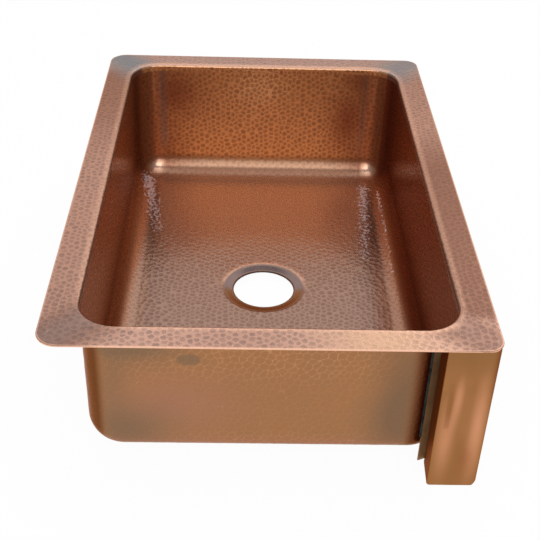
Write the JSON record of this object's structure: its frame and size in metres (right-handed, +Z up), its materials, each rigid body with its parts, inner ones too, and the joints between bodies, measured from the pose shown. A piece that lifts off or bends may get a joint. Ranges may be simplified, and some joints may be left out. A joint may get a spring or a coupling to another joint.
{
  "type": "farmhouse apron front sink",
  "caption": "Hammered copper kitchen sink with a single rectangular bowl, a flat rolled rim, a folded apron across the front and a recessed drain hole.",
  "frame": {"origin": "centre of the drain hole, on the face of the drain ring that a strainer's flange rests on", "axes": "+Z up, out of the drain; +X along the sink's length, to the right of someone at the apron; -Y out through the apron"},
  "size_m": [0.762, 0.508, 0.212],
  "materials": {
    "bowl_copper": "hammered, antiqued and waxed copper",
    "rim_copper": "hammered, antiqued copper, polished on the ridges",
    "apron_copper": "satin copper, hammered on the front",
    "seat_copper": "smooth pressed copper, dull",
    "weld_copper": "welded copper, scaled",
    "braze": "brazed fillet",
    "tinned_copper": "copper tinned with solder, tarnished",
    "solder": "dull soft solder"
  },
  "bodies": {
    "root": {"basin_shell": "bowl_copper", "drain_seat": "seat_copper", "drain_seat_braze": "braze", "rim_front": "rim_copper", "rim_back": "rim_copper", "rim_left": "rim_copper", "rim_right": "rim_copper", "rim_corner_welds": "weld_copper", "rim_basin_weld": "weld_copper", "apron_panel": "apron_copper", "apron_cleat_left": "tinned_copper", "apron_cleat_right": "tinned_copper", "cleat_solder_left": "solder", "cleat_solder_right": "solder", "apron_rim_solder": "solder"}
  },
  "joints": []
}
